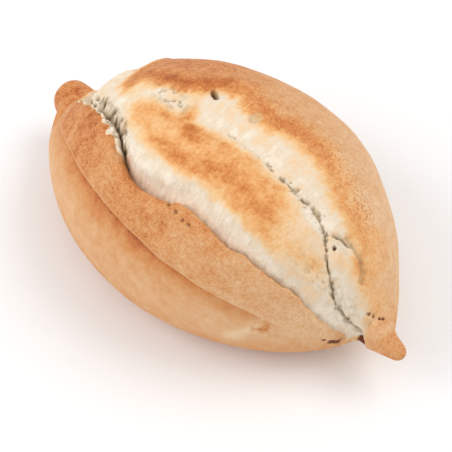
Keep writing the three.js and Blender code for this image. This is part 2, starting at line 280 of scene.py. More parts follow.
def knob_radius(x):
    """The radius of the left or the right knob at x."""
    r, power = LEFT_KNOB["radius"], LEFT_KNOB["squareness"]
    beyond = np.maximum(0, -HALF_LENGTH + r - x)
    left = np.maximum(0, r ** power - beyond ** power) ** (1 / power)
    base_x, tip = RIGHT_KNOB["base_x"], RIGHT_KNOB["tip_radius"]
    taper = np.clip((x - base_x) / (HALF_LENGTH - base_x), 0, 1)
    beyond = np.maximum(0, x - HALF_LENGTH + tip)
    right = mix(RIGHT_KNOB["base_radius"], tip, taper) * np.sqrt(np.maximum(0, 1 - (beyond / tip) ** 2))
    return np.where(x < 0, left, right)


def ring_sizes(x):
    """The axis point and the four half sizes of the rings at x."""
    knob = knob_radius(x)
    near_tip = np.clip((HALF_LENGTH - np.abs(x)) / 3, 0, 1)
    blend = np.where(x < 0, KNOB_BLEND_LEFT, KNOB_BLEND_RIGHT) * near_tip
    ear, back, top, under = (
        np.maximum(1e-6, soft_max(swelling(x, side), knob, blend))
        for side in (EAR_SIDE, BACK_SIDE, TOP, UNDERSIDE))
    to_left = ramp(-x / HALF_LENGTH, 0.25, 0.9)
    to_right = ramp(x / HALF_LENGTH, 0.25, 0.9)
    sag = RIGHT_KNOB["sag"] * ramp(x, RIGHT_KNOB["base_x"], HALF_LENGTH)
    z = AXIS_HEIGHT + (LEFT_KNOB["height"] - AXIS_HEIGHT) * to_left
    z = z + (RIGHT_KNOB["height"] - AXIS_HEIGHT) * to_right - sag
    y = LEFT_KNOB["y"] * to_left + RIGHT_KNOB["y"] * to_right
    return SimpleNamespace(x=x, y=y, z=z, ear=ear, back=back, top=top, under=under)


def oval_points(ring, degrees):
    """Points of the plain oval. The angle is 0 at the bottom and 90 on the ear side.

    The result, p below, has one number a point for each of its names, and gains more on the way.
    """
    angle = np.radians(degrees)
    sy, sz = -np.sin(angle), -np.cos(angle)
    width = np.where(sy < 0, ring.ear, ring.back)
    height = np.where(sz < 0, ring.under, ring.top)
    power = np.where(sz < 0, OVAL_POWER_BASE, OVAL_POWER_TOP)
    radius = ((np.abs(sy) / width) ** power + (np.abs(sz) / height) ** power) ** (-1 / power)
    y = ring.y + radius * sy
    z = ring.z + radius * sz
    across = y * math.cos(SLASH_TILT) + z * math.sin(SLASH_TILT)
    x = np.broadcast_to(ring.x, degrees.shape)
    return SimpleNamespace(x=x, y=y, z=z, sy=sy, sz=sz, radius=radius, degrees=degrees, across=across)


def angle_across(ring, across):
    """The angle at which each ring crosses a line of the slash."""
    low, high = (np.full(ring.x.shape, angle) for angle in SLASH_ANGLES)
    for _ in range(HALVINGS):
        middle = (low + high) / 2
        short = oval_points(ring, middle).across < across
        low = np.where(short, middle, low)
        high = np.where(short, high, middle)
    return (low + high) / 2


# ---- The slash's lines as torn ----
def torn_share(x):
    """Where the ear is torn open wide, at the left, from 0 to 1."""
    return ramp(x, -62, -55) * (1 - ramp(x, -27, -17))


def ear_line(x):
    """The ear's edge: the solid's line, made ragged, with the tongue added."""
    ragged = 0.45 * noise(x / 4.0 + 9, 3.3, 0.0) + 0.34 * noise(x / 1.6, 7.7, 0.0)
    ragged = ragged + mix(0.12, 0.26, ramp(x, -18, -10)) * noise(x / 0.8, 1.7, 0.0)
    calm = 1 - ramp(x, 50, 58)
    tongue = TONGUE["reach"] * bump(x - TONGUE["along"], TONGUE["half"])
    return at_stations(x, EAR_EDGE) + tongue + ragged * (1 + 0.9 * torn_share(x)) * mix(0.35, 1, calm)


def groove_line(x):
    """The groove: the solid's line, made ragged."""
    ragged = 0.4 * noise(x / 3.0, 0.3, 0.0) + 0.22 * noise(x / 1.2, 5.1, 0.0)
    return at_stations(x, GROOVE) + ragged * (1 + ramp(x, 40, 46))


def back_line(x):
    """The back crust's edge: the solid's line, made ragged, leaning at the left and risen in places."""
    ragged = 0.5 * noise(x / 3.4, 6.3, 0.0) + 0.3 * noise(x / 1.3, 2.9, 0.0)
    leaning = x - BACK_LEAN * (1 - ramp(x, -42, -32))
    risen = sum(rise * bump(x - along, half) for along, half, rise in BACK_RISES)
    return at_stations(leaning, BACK_EDGE) + ragged * ramp(x, -36, -28) + risen


# ---- Relief ----
def line_distance(p, points):
    """How far each point is from a broken line on the slash plane."""
    nearest = np.full(p.x.shape, np.inf)
    for (ax, ay), (bx, by) in zip(points, points[1:]):
        length = (bx - ax) ** 2 + (by - ay) ** 2
        t = np.clip(((p.x - ax) * (bx - ax) + (p.across - ay) * (by - ay)) / length, 0, 1)
        nearest = np.minimum(nearest, np.hypot(p.x - mix(ax, bx, t), p.across - mix(ay, by, t)))
    return nearest


def spot(p, along, across, half_along, half_across):
    """1 in the middle of an oval mark on the slash plane, 0 away from it."""
    return np.exp(-((p.x - along) / half_along) ** 2 - ((p.across - across) / half_across) ** 2)


def spot_distance(p, mark):
    """How far out each point is in an oval mark, 1 at its edge."""
    along = (p.x - mark["along"]) / mark["half_along"]
    across = (p.across - mark["across"]) / mark["half_across"]
    return np.hypot(along, across)


def side_spot(p, along, degrees, half_along, half_round):
    """The same for a mark given by its angle round the roll."""
    round_the_roll = np.radians(p.degrees - degrees) * p.radius
    return np.exp(-((p.x - along) / half_along) ** 2 - (round_the_roll / half_round) ** 2)


def find_places(p):
    """Where each point lies against the slash's lines, and how far it belongs to each place."""
    x = p.x
    p.past_ear = p.across - ear_line(x)
    p.past_groove = p.across - groove_line(x)
    p.before_back = back_line(x) - p.across
    # The same as a true distance, also where the line runs off over the top.
    slope = back_line(x + 0.5) - back_line(x - 0.5)
    p.to_back = p.before_back / np.sqrt(1 + slope ** 2)
    p.drop = at_stations(x, EAR_DROP)
    p.torn = torn_share(x)
    ends = SLASH_ENDS
    within_ends = ramp(x, ends["start"], ends["full"]) * (1 - ramp(x, ends["fading"], ends["gone"]))
    p.open = within_ends * ramp(p.degrees, 40, 55) * (1 - ramp(p.degrees, 262, 285))
    p.past_lip = ramp(p.past_ear, -0.3 * LIP["thickness"], 0.7 * LIP["thickness"])
    p.crumb = p.open * p.past_lip * ramp(p.before_back, -1, 2)
    p.past_crease = np.radians(p.degrees - at_stations(x, CREASE_ANGLE)) * p.radius
    p.creased = (ramp(x, -70, -60) * (1 - ramp(x, 34, 52)) * (1 - ramp(p.past_ear, -4, 0))
                 * ramp(p.degrees, 30, 60) * (1 - ramp(p.degrees, 185, 200)))
    p.neck = (ramp(x, NECK["start"], NECK["full"]) * (1 - ramp(x, NECK["end"], NECK["gone"]))
              * ramp(p.past_ear, 0, 3) * (1 - ramp(p.degrees, 250, 290)))
    p.toast = toasting(p)


def toasting(p):
    """How toasted the risen crumb is."""
    middle = at_stations(p.x, TOAST_MIDDLE)
    half = at_stations(p.x, TOAST_HALF_WIDTH)
    edge = np.abs(p.across - middle) - half + 1.6 * rough(p, 4.5, 3.1)
    level = mix(mix(0.20, 0.46, ramp(p.x, -28, -6)), 0.13, ramp(p.x, 24, 40))
    base = level * (1 - ramp(edge, -3.5, 1.5)) * ramp(p.x, -34, -26) * (1 - ramp(p.x, 46, 56))
    blotches = sum(dark * spot(p, *place) for *place, dark in BLOTCHES)
    broken = np.clip(0.85 + 0.42 * rough(p, 2.2, 8.4) + 0.2 * rough(p, 0.9, 5.5), 0.2, 1.6)
    total = base * (1 + 0.35 * rough(p, 3.0, 1.9)) + blotches * broken * 0.8
    # The brownest strokes level off.
    return np.where(total > 0.5, 0.5 + 0.45 * np.tanh((total - 0.5) / 0.6), total)


def relief_of_solid(p):
    """The solid's relief with the shoulder's step, and without the groove's cut, which cut_slots makes."""
    x = p.x
    lip_rise = LIP["rise"] + LIP["rise_per_drop"] * p.drop
    out = p.open * (1 - p.past_lip) * ramp(p.past_ear, LIP["raised_from"], LIP["raised_full"]) * lip_rise
    climb = mix(*EAR_CLIMB, ramp(x, -25, 5))
    thick = LIP["thickness"]
    out -= p.open * p.past_lip * p.drop * (1 - ramp(p.past_ear, thick, climb + thick))
    dome_ends = ramp(x, -58, -40) * (1 - ramp(x, 38, 54))
    out += p.crumb * DOME["rise"] * bump(p.past_ear - DOME["past_ear"], DOME["width"]) * dome_ends
    out -= NECK["depth"] * p.neck
    out -= SHOULDER["depth"] * bump(x - SHOULDER["along"], SHOULDER["half"]) * p.open * ramp(p.past_ear, 1, 4)
    share = mix(GROOVE_FAINT["share"], 1, ramp(x, GROOVE_FAINT["until"], GROOVE_FAINT["full"]))
    out -= p.crumb * share * GROOVE_DIP["depth"] * bump(p.past_groove, GROOVE_DIP["width"])
    lump = np.hypot(x - LUMP["along"], p.across - LUMP["across"])
    out += p.crumb * LUMP["rise"] * bump(lump, LUMP["radius"])
    out += p.open * BACK_RIM["rise"] * bump(p.before_back + BACK_RIM["behind"], BACK_RIM["width"])
    out -= p.open * BACK_RIM["step"] * p.past_lip * ramp(p.before_back, -1, 2.5)
    out += p.creased * BAND["rise"] * ramp(p.past_crease, BAND["start"], BAND["full"])
    out -= p.creased * CREASE["depth"] * bump(p.past_crease, CREASE["width"])
    crust = (1 - p.crumb) * ramp(p.degrees, 60, 110)
    out += crust * CRUST_UNEVEN["height"] * lumps(p, CRUST_UNEVEN["spacing"])
    out += p.crumb * CRUMB_UNEVEN["height"] * lumps(p, CRUMB_UNEVEN["spacing"])
    return out


def cut_slots(p):
    """The broken line of slots along the groove."""
    depth = 0.35 * bump(p.past_groove, 0.8) * p.crumb * ramp(p.x, -16, -8)
    wander = 0.25 * noise(p.x / 1.1, 2.2, 0.0)
    came_open = at_stations(p.x, GROOVE_OPEN)
    porous = bump(p.past_groove + wander, mix(0.6, 2.2, came_open)) + rough(p, 1.1, 3.7)
    depth += 0.85 * ramp(porous, 1.40 - 0.80 * came_open, 1.75 - 0.80 * came_open) * p.open
    for along, half, deep, width in SLOTS:
        within = 1 - ramp(np.abs(p.x - along), 0.6 * half, 1.25 * half)
        depth = np.maximum(depth, p.open * deep * within * bump(p.past_groove + wander, width))
    return depth


def cut_holes(p):
    """How deep the holes go at each point."""
    depth = np.zeros(p.x.shape)
    for along, across, half_along, half_across, deep in HOLES:
        slanted = p.across - across - HOLE_SLANT * (p.x - along)
        near = ((p.x - along) / half_along) ** 2 + (slanted / half_across) ** 2
        depth = np.maximum(depth, deep * (1 - ramp(near, 0.25, 1.5)))
    return depth * p.upper


def torn_wall(p):
    """The torn face below the ear's edge, with shreds of crumb and pits."""
    x = p.x
    torn_face = p.torn * ramp(p.past_ear, -2.6, 0.2) * p.open
    shreds = noise(x / 0.8, p.across / 2.5, 4.4) + 0.6 * noise(x / 1.7, p.across / 0.9, 9.1)
    out = -WALL_RECESS * torn_face * (1 - p.past_lip)
    on_wall = ramp(p.past_ear, -0.4, 0.1) * (1 - ramp(p.past_ear, 0.6, 1.4))
    out += SHRED_HEIGHT * shreds * torn_face * (1 - ramp(p.past_ear, 4, 8)) * (1 - 0.7 * on_wall)
    near_crack = torn_face * (1 - ramp(p.past_ear, 3.5, 6.0))
    p.pits = near_crack * ramp(rough(p, 1.5, 5.3), -0.05, 0.35)
    return out - PIT_DEPTH * p.pits


def crumb_texture(p):
    """Fibres, strands and wrinkles of the risen crumb."""
    x = p.x
    # Fibres of the crumb, drawn out across the slash.
    pale = p.crumb * (1 - np.clip(2 * p.toast, 0, 1))
    drawn = x + 0.9 * noise(x / 4.0, p.across / 4.0, 8.8)
    fibres = noise(drawn / 0.95, p.across / 3.4, 1.3) + 0.5 * noise(drawn / 0.5, p.across / 1.9, 6.2)
    near_ear = ramp(p.past_ear, 0.5, 3) * (1 - ramp(p.past_ear, 6, 12))
    out = (FIBRE_HEIGHT + FIBRE_EXTRA_NEAR_EAR * near_ear) * fibres * pale
    out += (0.20 * rough(p, 1.9, 2.7) + 0.07 * rough(p, 0.8, 9.9)) * p.crumb
    # Strands drawn along the roll in the neck, with gaps between them.
    strands = noise(x / 8.0, p.across / 1.3, 3.9)
    p.gaps = p.neck * ramp(-strands, 0.15, 0.6)
    out += STRAND_HEIGHT * p.neck * strands
    # Fine curved wrinkles on the toasted crumb.
    bend = p.across - 0.02 * (x - 6) ** 2
    wrinkled = p.crumb * spot(p, 5, 18, 11, 6)
    return out + TOAST_WRINKLE_HEIGHT * wrinkled * noise(x / 5.0, bend / 0.85, 7.3)


def cut_openings(p):
    """How deep the slots, holes, pores, splits and the bubble go. Notes in p how much painted shade they get.
    """
    ragged = 1 + 0.35 * rough(p, 1.1, 6.6)
    slots = cut_slots(p) * ragged
    holes = cut_holes(p)
    pores = porous_places(p) * ramp(rough(p, 1.3, 4.1), 0.02, 0.4)
    splits = sum(p.open_or_knob * line["depth"] * bump(line_distance(p, line["points"]), line["width"])
                 for line in SPLITS) * ragged
    p.bubble = 1 - ramp(spot_distance(p, BUBBLE), 0.7, 1.2)
    # Painted shade in the deeper holes, and fainter in holes that lie in the crust.
    p.hollow = np.maximum(ramp(holes, 0.8, 2.0), 0.45 * (1 - p.crumb) * ramp(holes, 0.1, 0.5))
    # How much painted shade the slots, holes, pores, pits and splits get.
    p.opening = np.clip((slots - 0.4) / 1.1, 0, 1) + np.clip((holes - 0.4) / 1.0, 0, 1)
    p.opening += 0.30 * pores + 0.8 * p.pits + np.clip((splits - 0.8) / 1.4, 0, 1)
    return slots + holes + PORE_DEPTH * pores + splits + BUBBLE["depth"] * p.bubble


def crust_texture(p):
    """A fine ridge beside the crease, the blister, the rough rim of the back crust and small flakes."""
    x = p.x
    out = CREASE_RIDGE_HEIGHT * p.creased * bump(p.past_crease - CREASE_RIDGE, 0.45)
    blister = side_spot(p, BLISTER["along"], BLISTER["degrees"], BLISTER["half_along"], BLISTER["half_round"])
    out += BLISTER["rise"] * blister * (0.4 + rough(p, 1.1, 2.2))
    rim = bump(p.before_back + 0.8, 2.2) * p.open * ramp(x, -18, -8)
    out += rim * (0.30 * rough(p, 1.6, 9.4) + 0.22 * lumps(p, 0.8))
    out -= SCORCH_DEPTH * scorched(p)
    upper = (1 - p.crumb) * ramp(p.degrees, 45, 80)
    out += upper * (0.05 * rough(p, 2.6, 5.8) + 0.035 * rough(p, 1.1, 1.4))
    # Fine wrinkles along the band between the crease and the ear, and across its left end.
    bent = 0.4 * rough(p, 3.0, 1.1)
    wrinkles_along = noise(x / 3.2 + bent, p.past_crease / 0.75, 4.7)
    wrinkles_across = noise(x / 1.1 + 3 * bent, p.past_crease / 4.5, 8.1)
    p.wrinkles = mix(wrinkles_along, 1.8 * wrinkles_across, ramp(-x, 36, 44))
    return out + BAND_WRINKLE_HEIGHT * p.wrinkles * p.creased * ramp(p.past_crease, 1.5, 3.5)


def fine_relief(p):
    """All the detail that is finer than the solid's relief."""
    return torn_wall(p) + crumb_texture(p) - cut_openings(p) + crust_texture(p)


def porous_places(p):
    """The grey porous crumb behind the toasted dome, and the crumb round the right-hand splits."""
    behind = spot(p, -23, 28.0, 9, 3.4)
    right = spot(p, 50, 11.5, 9, 3.5) + spot(p, 57, 7, 3.5, 2.5) + 0.7 * spot(p, 50, 23.5, 7, 2.5)
    return np.clip(1.5 * behind + right, 0, 1.5) * p.crumb


def scorched(p):
    """1 on the scorched marks, 0 away from them."""
    marks = np.zeros(p.x.shape)
    for x, y, z, radius in SCORCHES:
        distance = np.sqrt((p.x - x) ** 2 + (p.skin_y - y) ** 2 + (p.skin_z - z) ** 2)
        marks = np.maximum(marks, bump(distance, radius))
    return ramp(marks * (1 + 0.25 * rough(p, 1.3, 7.7)), 0.35, 0.6)


# ---- How baked each place is ----
def browning(p):
    """Browning of the crust, from 0, pale, to 1, dark."""
    x = p.x
    # Above the crease the crust is browner, most towards the left, and pale at the right end.
    band = mix(mix(0.34, 0.22, ramp(x, 40, 54)), 0.71, bump(x + 10, 34)) + 0.33 * ramp(-x, 20, 45)
    flank = mix(0.44, 0.30, ramp(x, -10, 50))
    above = ramp(p.past_crease, -0.5, 2.5) * ramp(-x, -52, -36) + ramp(x, 36, 52) * ramp(p.degrees, 96, 116)
    bake = mix(flank, band, np.clip(above, 0, 1))
    # The crust is darker along the crease and for a few millimetres below it, and paler in a thin line on the
    # ridge beside it.
    below = ramp(-p.past_crease, -0.6, 0.2) * bump(np.minimum(p.past_crease + 0.2, 0), 5.5)
    line = bump(p.past_crease, 0.7)
    bake += (0.35 * below + 0.26 * line) * p.creased * mix(0.45, 1, bump(x + 2, 30))
    pale_edge = np.clip(0.7 + 0.9 * noise(x / 5.0, 1.9, 0.0), 0, 1)
    bake -= 0.19 * pale_edge * bump(p.past_crease - CREASE_RIDGE, 0.5) * p.creased
    bake += 0.06 * p.wrinkles * p.creased * ramp(p.past_crease, 1.5, 3.5)
    # The flank turns darker again towards its foot.
    bake += 0.26 * (1 - ramp(p.degrees, 62, 98)) * ramp(p.degrees, 20, 60)
    # The back crust is browner to the left.
    past_back = -p.before_back
    back_side = ramp(p.degrees, 175, 185) * ramp(past_back, -6, 0) + ramp(p.degrees, 250, 262)
    back = mix(0.66, 0.32, ramp(x, -25, 45)) + 0.10 * ramp(-x, 10, 35)
    bake = mix(bake, back, np.clip(back_side, 0, 1))
    # Knobs, then the underside.
    knob = np.clip(1 - ramp(x, -66, -60) + ramp(x, 62, 68), 0, 1)
    knob_bake = np.where(x < 0, LEFT_KNOB_BAKE, RIGHT_KNOB_BAKE) + 0.18 * spot(p, -67.5, 12.5, 2.5, 1.6)
    bake = mix(bake, knob_bake, knob)
    under = 1 - ramp(p.z, 1.0, 8.0)
    bake = mix(bake, UNDERSIDE_BAKE, under * 0.9)
    bake += 0.10 * rough(p, 7.0, 3.3) + 0.07 * rough(p, 2.4, 6.1)
    streak = (bump(line_distance(p, PALE_STREAK), 1.0)
              * ramp(p.degrees, 76, 84) * (1 - ramp(p.degrees, 108, 114)))
    bake -= 0.30 * streak
    # The ear's rim browns a little more than the band below it.
    bake += 0.05 * bump(p.past_ear + 0.9, 1.1) * p.open * ramp(x, -18, -8)
    bake += 0.09 * bump(p.past_ear + 2.4, 1.8) * bump(x - 18, 11)
    # A pale mark on the back of the right knob, the patchy blister and a brown spot near the ear.
    bake -= 0.35 * side_spot(p, 67.0, 200.0, 1.1, 3.4)
    blistered = side_spot(p, BLISTER["along"], BLISTER["degrees"], 2.6, 2.4)
    bake += 0.50 * blistered * (0.4 - 1.6 * rough(p, 1.1, 2.2))
    bake += 0.30 * spot(p, -30.3, 8.7, 1.6, 0.9)
    return np.clip(bake, 0, 1)


def describe(p):
    """The attributes that the material reads, each from 0 to 1."""
    x = p.x
    wander = 0.8 * rough(p, 3.2, 2.1) + 0.5 * rough(p, 1.0, 7.2)
    strip = p.torn * mix(0.2, 1, bump(x + 32, 13)) * (0.8 + 0.6 * noise(x / 2.3, 8.8, 0.0))
    beyond_ear = ramp(p.past_ear + 2.2 * strip - 0.4 * (1 - p.torn), -0.15, 0.15)
    soft = 1 + 0.4 * (1 - ramp(x, -42, -26)) - 0.35 * ramp(x, -22, -8)
    # At the left end the crumb's colour runs further up the back.
    beyond_back = 1.8 * bump(x + 45, 5)
    to_back = ramp((p.to_back + wander + beyond_back) / soft, -1.6, 3.0)
    # Torn flesh shows in the neck right up to the knob, and only on the side it tore.
    in_neck = ramp(x, -63.0, -61.0) * (1 - ramp(x, -52, -46)) * ramp(p.past_ear, 0, 1)
    torn_side = 1 - ramp(p.degrees + 4 * wander, 214, 228) * (1 - ramp(x, -40, -30))
    p.crumbly = np.maximum(p.open, in_neck) * beyond_ear * np.maximum(to_back, p.bubble) * torn_side
    # The rim of the back crust takes the crumb's warmer browning.
    rim = p.open * bump(p.to_back + 0.6 + wander, 2.8) * ramp(x, -50, -30)
    crust = browning(p)
    reach = mix(7.5, mix(3.0, 5.5, ramp(x, -18, 0)), ramp(x, -34, -28))
    deep_gold = mix(mix(0.10, 0.30, ramp(x, -42, -37)), 0.42, ramp(x, -34, -24))
    gold = deep_gold * (1 - ramp(p.to_back + wander, 0, reach)) * (1 - p.bubble)
    gold += 0.25 * spot(p, -17.0, 34.5, 2.6, 4.0) + 0.10 * spot(p, -36, 22, 6, 5)
    # Faint golden streaks across the crumb behind the groove. A faint tan covers the rest of the crumb but is
    # left off beside the ear, which paints the crumb there paler: painted light against the shade of the
    # ear's lip.
    streaks = 0.07 * ramp(noise(x / 1.7, p.across / 7.0, 6.9), 0.0, 0.6) * ramp(p.past_groove, 0, 2)
    faint_tan_and_painted_light = 0.045 * (1 - bump(p.past_ear - 3, 5))
    crumb_bake = np.clip(p.toast + gold * ramp(p.across, 14, 22) + streaks + faint_tan_and_painted_light, 0, 1)
    rim_brown = mix(mix(0.16, 0.26, ramp(x, -2, 10)), 0.14, ramp(x, 26, 40))
    p.bake = np.clip(mix(crust, crumb_bake, p.crumbly) + rim_brown * rim, 0, 1)
    p.warm = np.clip(np.maximum(p.crumbly, rim * 0.9), 0, 1)
    freckled = p.open * bump(p.to_back + 2.0 + wander, 3.2) * ramp(x, -26, -12) * (1 - ramp(x, 44, 56))
    p.freckles = np.clip(freckled + 0.15 * (1 - p.crumbly), 0, 1)
    # Painted shade in the crack under the ear's lip and along the ear's foot, where the lip shades the crumb.
    crack_shade = (p.open * ramp(p.past_ear, 0.1, 0.7) * (1 - ramp(p.past_ear, 0.9, 2.6))
             * ramp(p.drop, 3.2, 5.6) * (0.7 + 0.6 * rough(p, 2.0, 4.9)))
    foot = p.crumbly * ramp(p.past_ear, -0.2, 0.5) * (1 - ramp(p.past_ear, 0.4, 2.6))
    fuzzy = np.clip(0.22 + 0.50 * noise(x / 0.9, p.across / 2.2, 5.6), 0, 1)
    # The gaps between the strands get painted shade only where torn crumb shows.
    openings_shade = p.opening + 0.45 * p.gaps * p.crumbly
    # All of this is painted shade; the bubble is greyed with the same colour.
    p.dark = np.maximum(np.clip(openings_shade + crack_shade + foot * fuzzy, 0, 1), 0.3 * p.bubble)
    # The scorched marks, and the painted shade in the holes, in one mask.
    p.scorch = np.maximum(scorched(p), 0.9 * p.hollow)
    # The flank's skin is smoother than the rest of the crust.
    flank = 1 - np.clip(ramp(p.past_crease, -1, 2) + ramp(p.degrees, 200, 240) + p.crumbly, 0, 1)
    p.smooth = flank * (1 - ramp(x, 40, 58)) * ramp(x, -72, -64) * ramp(p.z, 2, 10)


# ---- Mesh ----
def guide_angles(ring):
    """The columns follow the crease and the slash's lines, and settle on the knobs."""
    x = ring.x
    near_left = 1 - ramp(x, -66, -60)
    crease = mix(mix(at_stations(x, CREASE_ANGLE), 115, near_left), 75, ramp(x, 38, 54))
    ear = mix(angle_across(ring, ear_line(x)), 154, near_left)
    ear = mix(ear, 105, ramp(x, 56, 62))
    groove = mix(angle_across(ring, groove_line(x)), 172, 1 - ramp(x, -56, -48))
    groove = mix(groove, 150, ramp(x, 58, 63))
    back = mix(angle_across(ring, back_line(x)), 188, 1 - ramp(x, -46.5, -42))
    back = mix(back, 190, ramp(x, 54, 62))
    first = np.zeros(x.shape)
    return [first, first + 58, crease, ear - 0.7, ear + 0.9, groove, back, first + 300, first + 360]


def column_angles(ring):
    """Angles round each ring, closer together beside the groove and the ear."""
    guides = guide_angles(ring)
    even, closing, opening, both = 0, 1, 2, 3
    spacing = (even, closing, both, even, both, opening, even, even)
    parts = []
    for zone, faces in enumerate(ZONES):
        t = np.arange(faces) / faces
        if spacing[zone] == closing:
            t = 1 - (1 - t) ** CLOSING_POWER
        elif spacing[zone] == opening:
            t = t ** OPENING_POWER
        elif spacing[zone] == both:
            t = mix(t, t * t * (3 - 2 * t), BOTH_ENDS_SHARE)
        parts.append(mix(guides[zone], guides[zone + 1], t[None, :]))
    return np.concatenate(parts, axis=1)


def roll_surface():
    """The whole skin: rings by columns, with its places and attributes."""
    t = np.arange(1, RINGS) / RINGS
    x = HALF_LENGTH * mix(2 * t - 1, -np.cos(math.pi * t), END_CROWDING)
    ring = ring_sizes(x[:, None])
    p = oval_points(ring, column_angles(ring))
    find_places(p)
    p.upper = ramp(p.degrees, 66, 80) * (1 - ramp(p.degrees, 225, 240))
    p.open_or_knob = np.maximum(p.open, 1 - ramp(p.x, -62, -58)) * p.upper
    near_tip = ramp(HALF_LENGTH - np.abs(p.x), 0, 5)
    out = relief_of_solid(p) * near_tip
    p.skin_y = ring.y + (p.radius + out) * p.sy
    p.skin_z = ring.z + (p.radius + out) * p.sz
    out += fine_relief(p) * near_tip
    # The crumb just beyond the ear is drawn back under its lip.
    under_lip = p.open * ramp(p.past_ear, -0.1, 0.5) * (1 - ramp(p.past_ear, 0.8, 4.5))
    slide = -LIP_SLIDE * p.drop * under_lip * ramp(HALF_LENGTH - np.abs(p.x), 0, 12)
    describe(p)
    radius = p.radius + out
    y = ring.y + radius * p.sy + slide * p.sz
    z = ring.z + radius * p.sz - slide * p.sy
    z = np.where(p.z < 0, 0, soft_max(z, 0, 0.6))
    p.place = np.stack([p.x, y, z], -1)
    return p


def roll_mesh():
    """The roll's mesh, and how far it was moved to stand where the solid does."""
    p = roll_surface()
    rows, columns = p.x.shape
    tips = ring_sizes(np.array([-HALF_LENGTH, HALF_LENGTH]))
    left = np.array([-HALF_LENGTH, tips.y[0], tips.z[0]])
    right = np.array([HALF_LENGTH, tips.y[1], tips.z[1]])
    places = np.concatenate([p.place.reshape(-1, 3), [left, right]])
    # The solid is centred over the origin, and so is the skin.
    low, high = places.min(0), places.max(0)
    shift = np.array([-(low[0] + high[0]) / 2, -(low[1] + high[1]) / 2, -low[2]])
    at = np.arange(rows * columns).reshape(rows, columns)
    turned = np.roll(at, -1, axis=1)
    quads = np.stack([at[:-1], at[1:], turned[1:], turned[:-1]], -1).reshape(-1, 4)
    first = [(rows * columns, a, b) for a, b in zip(at[0], turned[0])]
    last = [(a, rows * columns + 1, b) for a, b in zip(at[-1], turned[-1])]
    mesh = bpy.data.meshes.new("crusty_roll")
    faces = quads.tolist() + [tuple(map(int, face)) for face in first + last]
    mesh.from_pydata(((places + shift) * MM).tolist(), [], faces)
    mesh.polygons.foreach_set("use_smooth", np.ones(len(faces), bool))
    for name in ATTRIBUTES:
        values = getattr(p, name).ravel()
        attribute = mesh.attributes.new(name, "FLOAT", "POINT")
        attribute.data.foreach_set("value", np.append(values, values[[0, -1]]).astype(np.float32))
    lay = np.stack([p.x, p.across, p.degrees / 4], -1).reshape(-1, 3)
    attribute = mesh.attributes.new("lay", "FLOAT_VECTOR", "POINT")
    attribute.data.foreach_set("vector", np.append(lay, lay[[0, -1]]).astype(np.float32))
    mesh.validate()
    return mesh, shift


# ---- Material nodes ----
def srgb(red, green, blue):
    """A colour as seen on screen, 0 to 255, as a linear colour."""
    def linear(c):
        c /= 255
        return c / 12.92 if c <= 0.04045 else ((c + 0.055) / 1.055) ** 2.4
    return (linear(red), linear(green), linear(blue), 1.0)


class Shader:
    """Short ways to add nodes to one material."""

    def __init__(self, name):
        self.material = bpy.data.materials.new(name)
        self.material.use_nodes = True
        self.tree = self.material.node_tree
        self.tree.nodes.clear()

    def add(self, kind, inputs=None, **settings):
        made = self.tree.nodes.new(kind)
        for name, value in settings.items():
            setattr(made, name, value)
        for name, value in (inputs or {}).items():
            self.put(made.inputs[name], value)
        return made

    def put(self, socket, value):
        if isinstance(value, bpy.types.NodeSocket):
            self.tree.links.new(value, socket)
        else:
            socket.default_value = value

    def math(self, operation, a, b=0.0, c=0.0):
        made = self.add("ShaderNodeMath", operation=operation)
        for socket, value in zip(made.inputs, (a, b, c)):
            self.put(socket, value)
        return made.outputs[0]

    def attribute(self, name, output="Fac"):
        return self.add("ShaderNodeAttribute", attribute_name=name).outputs[output]

    def noise(self, vector, scale, detail=2.0, roughness=0.5, distortion=0.0):
        made = self.add("ShaderNodeTexNoise", {
            "Vector": vector, "Scale": scale, "Detail": detail,
            "Roughness": roughness, "Distortion": distortion})
        return made.outputs["Fac"]

    def scaled(self, vector, factors):
        made = self.add("ShaderNodeVectorMath", operation="MULTIPLY")
        self.put(made.inputs[0], vector)
        made.inputs[1].default_value = factors
        return made.outputs[0]

    def spread(self, value, low, high, to_low=0.0, to_high=1.0):
        """value from low..high to to_low..to_high, held at both ends."""
        made = self.add("ShaderNodeMapRange", {
            "Value": value, "From Min": low, "From Max": high, "To Min": to_low, "To Max": to_high})
        return made.outputs["Result"]

    def colours(self, factor, stops):
        made = self.add("ShaderNodeValToRGB", {"Fac": factor})
        elements = made.color_ramp.elements
        while len(elements) < len(stops):
            elements.new(0.5)
        for element, (position, colour) in zip(elements, stops):
            element.position = position
            element.color = srgb(*colour)
        return made.outputs["Color"]

    def blend(self, factor, a, b):
        made = self.add("ShaderNodeMix", data_type="RGBA")
        self.put(made.inputs[0], factor)
        self.put(made.inputs[6], a)
        self.put(made.inputs[7], b)
        return made.outputs[2]


CRUST_COLOURS = (
    (0.00, (236, 205, 166)), (0.25, (226, 184, 140)), (0.48, (219, 165, 114)),
    (0.70, (211, 144, 84)), (0.86, (198, 118, 62)), (1.00, (165, 88, 42)),
)
# Beside the ear the crumb is held at the first, palest stops, as painted light.
CRUMB_COLOURS = (
    (0.00, (241, 227, 207)), (0.06, (231, 215, 192)), (0.15, (236, 209, 175)), (0.34, (237, 193, 140)),
    (0.56, (230, 167, 104)), (0.78, (207, 129, 66)), (1.00, (166, 88, 42)),
)
GREY_CRUMB_COLOUR = (214, 194, 170)
# The colour of the painted shade in the openings and under the ear.
OPENING_SHADE_COLOUR = (150, 126, 90)
# The scorched marks' colour, also used for the painted shade in the holes.
SCORCH_AND_HOLE_SHADE_COLOUR = (110, 50, 14)
FRECKLE_COLOUR = (190, 106, 52)


